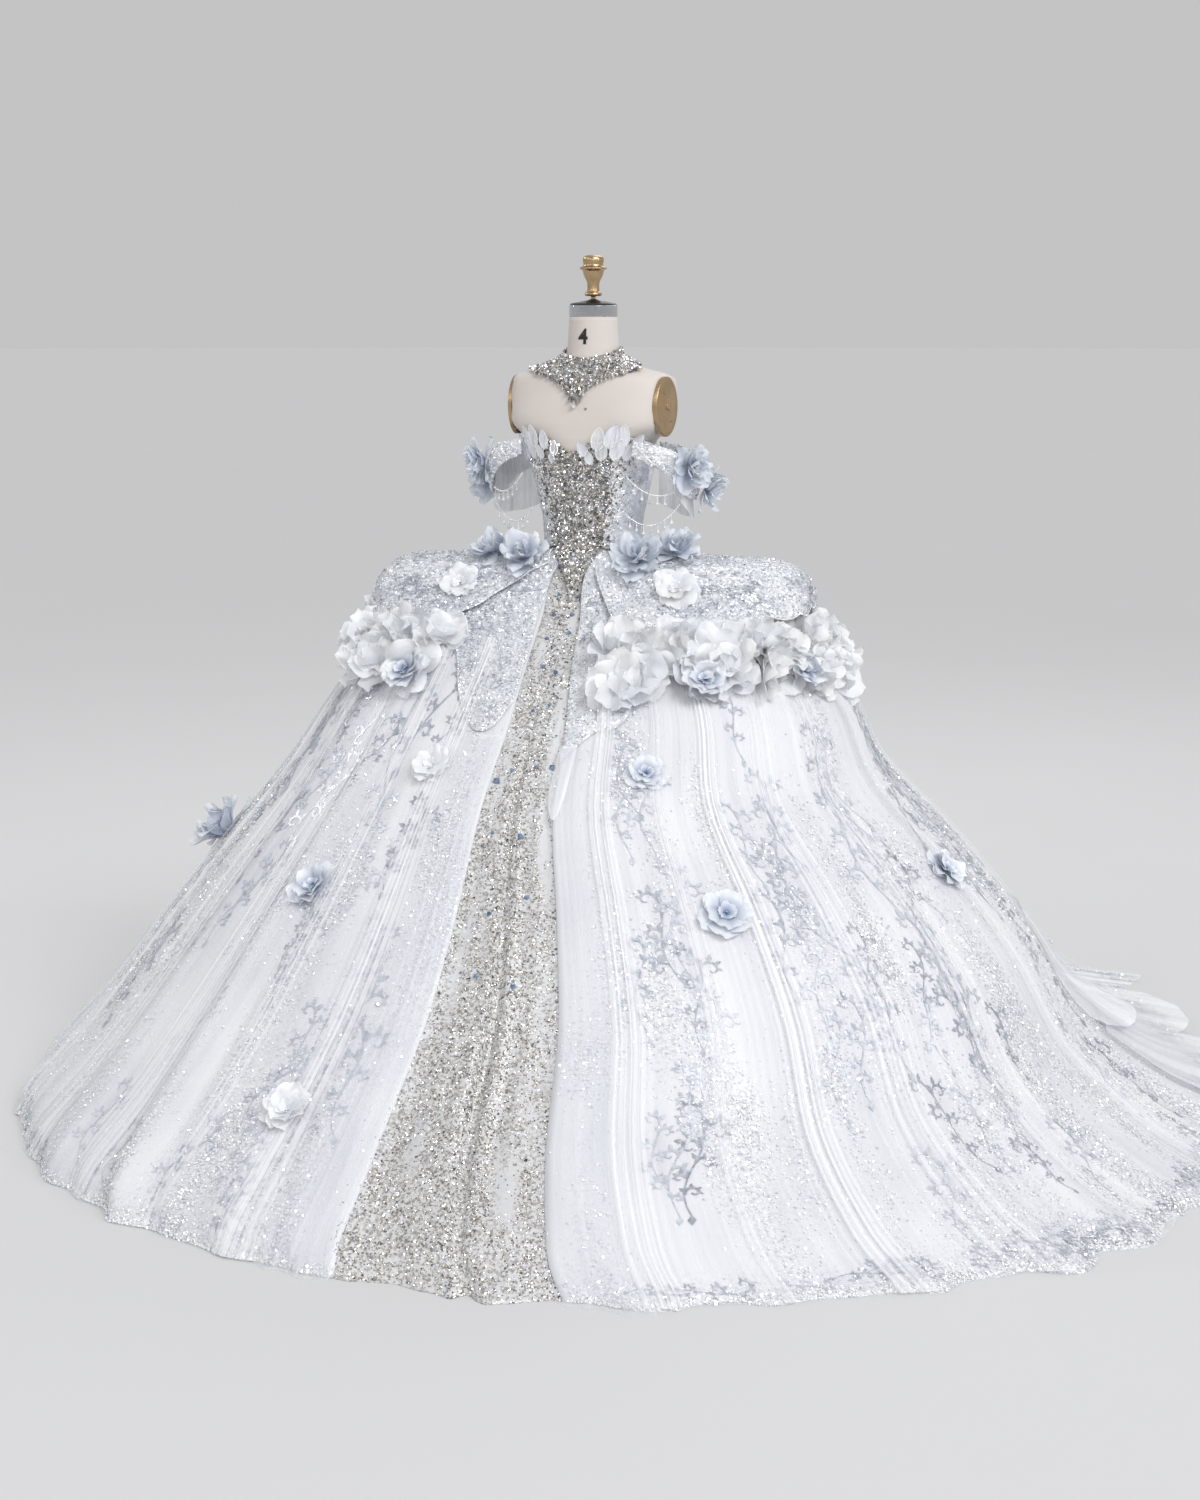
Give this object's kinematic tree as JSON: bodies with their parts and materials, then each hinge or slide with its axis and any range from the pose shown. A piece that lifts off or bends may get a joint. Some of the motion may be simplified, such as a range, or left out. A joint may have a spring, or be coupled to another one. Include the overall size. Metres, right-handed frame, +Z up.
{
  "type": "wedding dress on dress form",
  "caption": "Ball gown with sweetheart bodice, off-shoulder sleeves, stiff peplum, open overskirt and short train, on a limbless dress form with stand.",
  "frame": {"origin": "centre of the round stand's underside, on the floor", "axes": "+Z up along the stand pole, front of the gown towards -Y, wearer's left towards +X, train towards +Y"},
  "size_m": [2.5788, 3.0723, 1.7469],
  "materials": {
    "linen": "matt woven cotton cover",
    "chrome": "polished",
    "black_metal": "black enamel",
    "brass": "satin antique brass",
    "steel": "grey powder coat",
    "tulle": "layered white tulle with silver embroidery",
    "lace": "white lace with leaf applique",
    "crystal": "cloth covered with crystal beading",
    "sequin": "stiff lace with silver sequins",
    "organza": "crisp white organza",
    "flower": "dusty blue organza"
  },
  "bodies": {
    "root": {"form_torso": "linen", "arm_plate_right": "brass", "arm_plate_left": "brass", "neck_band": "chrome", "neck_cap": "black_metal", "neck_finial": "brass", "stand_base": "steel", "stand_pole": "steel", "beaded_collar": "crystal", "bodice_front": "crystal", "bodice_side_left": "lace", "bodice_side_right": "lace", "bodice_back_left": "lace", "bodice_back_right": "lace", "back_placket": "lace", "neckline_leaves_left": "organza", "neckline_leaves_right": "organza", "sleeve_band_left": "crystal", "sleeve_band_right": "crystal", "sleeve_drape_left": "tulle", "sleeve_drape_right": "tulle", "bead_swag_left_upper": "crystal", "bead_swag_left_lower": "crystal", "bead_swag_right_upper": "crystal", "bead_swag_right_lower": "crystal", "skirt_front_panel": "crystal", "overskirt_left": "tulle", "overskirt_right": "tulle", "overskirt_train": "tulle", "tulle_band_left": "tulle", "tulle_band_right": "tulle", "peplum_left_outer": "sequin", "peplum_left_inner": "sequin", "peplum_right_outer": "sequin", "peplum_right_inner": "sequin", "hip_ruffle_left": "organza", "hip_ruffle_right": "organza", "flower_waist_left_1": "flower", "flower_waist_left_2": "flower", "flower_waist_left_3": "flower", "flower_waist_right_1": "flower", "flower_waist_right_2": "flower", "flower_waist_right_3": "flower", "flower_hip_left_1": "flower", "flower_hip_left_2": "flower", "flower_hip_left_3": "flower", "flower_hip_right_1": "flower", "flower_hip_right_2": "flower", "flower_hip_right_3": "flower", "flower_hip_right_4": "flower", "flower_skirt_left_1": "flower", "flower_skirt_left_2": "flower", "flower_skirt_left_3": "flower", "flower_skirt_right_1": "flower", "flower_skirt_right_2": "flower", "flower_sleeve_upper_left": "flower", "flower_sleeve_lower_left": "flower", "flower_sleeve_upper_right": "flower", "flower_sleeve_lower_right": "flower"}
  },
  "joints": []
}
